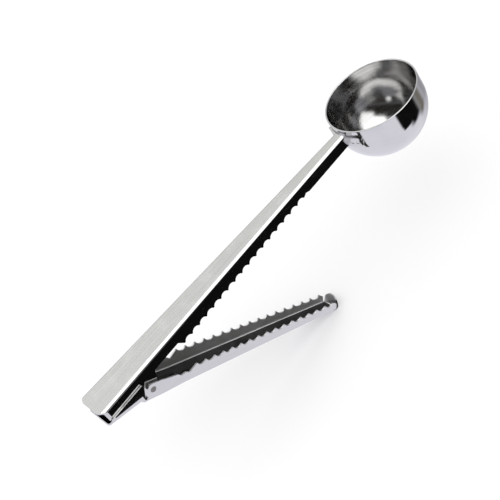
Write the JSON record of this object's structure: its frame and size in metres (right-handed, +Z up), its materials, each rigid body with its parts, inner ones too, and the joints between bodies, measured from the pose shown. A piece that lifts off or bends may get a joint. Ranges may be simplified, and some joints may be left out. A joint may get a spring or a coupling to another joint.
{
  "type": "coffee scoop with bag clip handle",
  "caption": "Metal measuring scoop whose long channel handle is one arm of a toothed spring clip, with a hinged toothed jaw below it for closing bags.",
  "frame": {"origin": "centre of the bounding box's floor, with the clip squeezed open so that the jaw's tip is at Z = 0", "axes": "+X along the handle towards the scoop, +Y across the handle along the hinge pin, +Z up out of the handle's flat top and out of the scoop's mouth"},
  "size_m": [0.18, 0.0392, 0.0583],
  "materials": {
    "bowl_steel": "polished",
    "handle_steel": "satin",
    "jaw_steel": "polished",
    "pin_steel": "polished",
    "spring_steel": "bright"
  },
  "bodies": {
    "handle": {"handle_channel": "handle_steel", "scoop_bowl": "bowl_steel", "pivot_pin": "pin_steel", "torsion_spring": "spring_steel"},
    "jaw": {"clip_jaw": "jaw_steel"}
  },
  "joints": [
    {"name": "jaw_hinge", "type": "hinge", "parent": "handle", "child": "jaw", "pos_m": [-0.06949, 0, 0.04738], "axis": [0, -1, 0], "range_deg": [0, 29.2], "stiffness_Nm_per_rad": 0.16, "springref_deg": 72.77, "deforming": ["torsion_spring"]}
  ]
}
